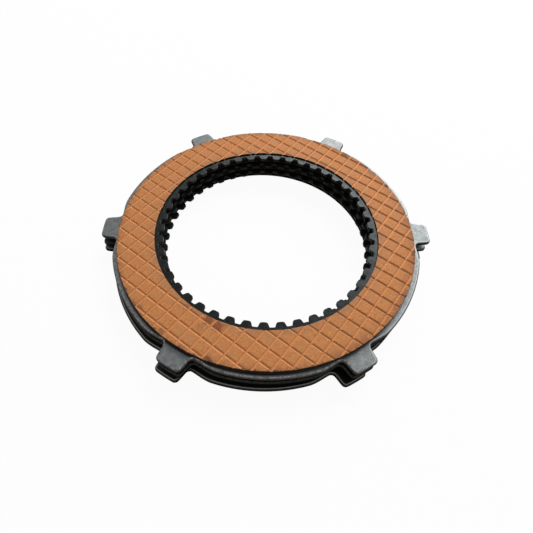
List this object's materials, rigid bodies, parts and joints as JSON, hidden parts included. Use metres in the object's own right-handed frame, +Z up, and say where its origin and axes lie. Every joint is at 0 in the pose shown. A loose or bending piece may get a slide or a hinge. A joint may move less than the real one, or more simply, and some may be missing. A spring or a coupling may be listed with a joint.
{
  "type": "clutch disc pack",
  "caption": "Clutch pack lying flat: ring discs with toothed bores and waffle-grooved bronze linings, stacked by turns with plain steel plates that have outer lugs.",
  "frame": {"origin": "the common axis of the toothed bores, in the plane of the lowest plate's underside", "axes": "+Z up along the axis, from the lowest steel plate to the grooved top lining; +X and +Y lie in the plane of the plates"},
  "size_m": [0.1828, 0.1693, 0.0183],
  "materials": {
    "core_steel": "dark, even satin, as hardened and blackened",
    "plate_steel": "dark grey satin with tumbled, rounded edges",
    "bronze_lining": "matt sintered bronze, fine grain, with pressed grooves"
  },
  "bodies": {
    "root": {"friction_core_1": "core_steel", "upper_lining_1": "bronze_lining", "lower_lining_1": "bronze_lining", "steel_plate_1": "plate_steel", "friction_core_2": "core_steel", "upper_lining_2": "bronze_lining", "lower_lining_2": "bronze_lining", "steel_plate_2": "plate_steel", "friction_core_3": "core_steel", "upper_lining_3": "bronze_lining", "lower_lining_3": "bronze_lining", "steel_plate_3": "plate_steel"}
  },
  "joints": []
}
